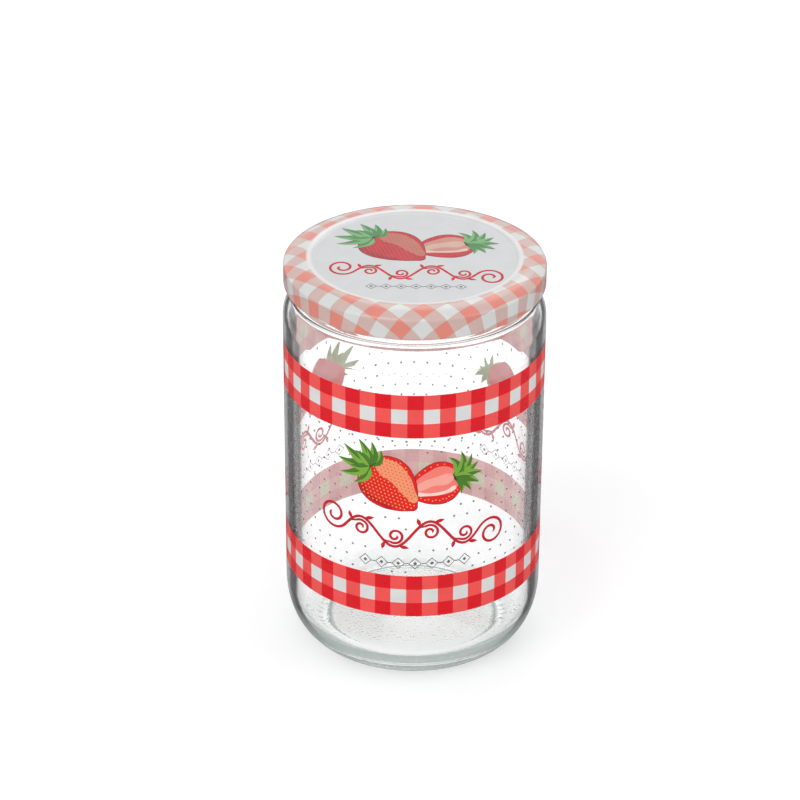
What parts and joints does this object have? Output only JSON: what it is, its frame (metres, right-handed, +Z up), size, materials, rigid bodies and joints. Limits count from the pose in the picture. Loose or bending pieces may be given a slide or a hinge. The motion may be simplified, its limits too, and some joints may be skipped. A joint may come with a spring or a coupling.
{
  "type": "decorative glass jar",
  "caption": "Round clear glass preserving jar with straight walls, a softly rounded base, printed bands and fruit, and a printed twist-off metal lid.",
  "frame": {"origin": "on the jar's axis, in the plane of the ring that the jar stands on", "axes": "+Z up along the jar's axis; the middle of the front print faces -Y"},
  "size_m": [0.086, 0.086, 0.1382],
  "materials": {
    "clear_glass": "clear and polished, with red, green and grey print on its outside",
    "printed_tinplate": "glossy lacquer over a coral and white checked print",
    "seal_compound": "soft and slightly glossy"
  },
  "bodies": {
    "root": {"glass_jar": "clear_glass", "lid": "printed_tinplate", "lid_seal": "seal_compound"}
  },
  "joints": []
}
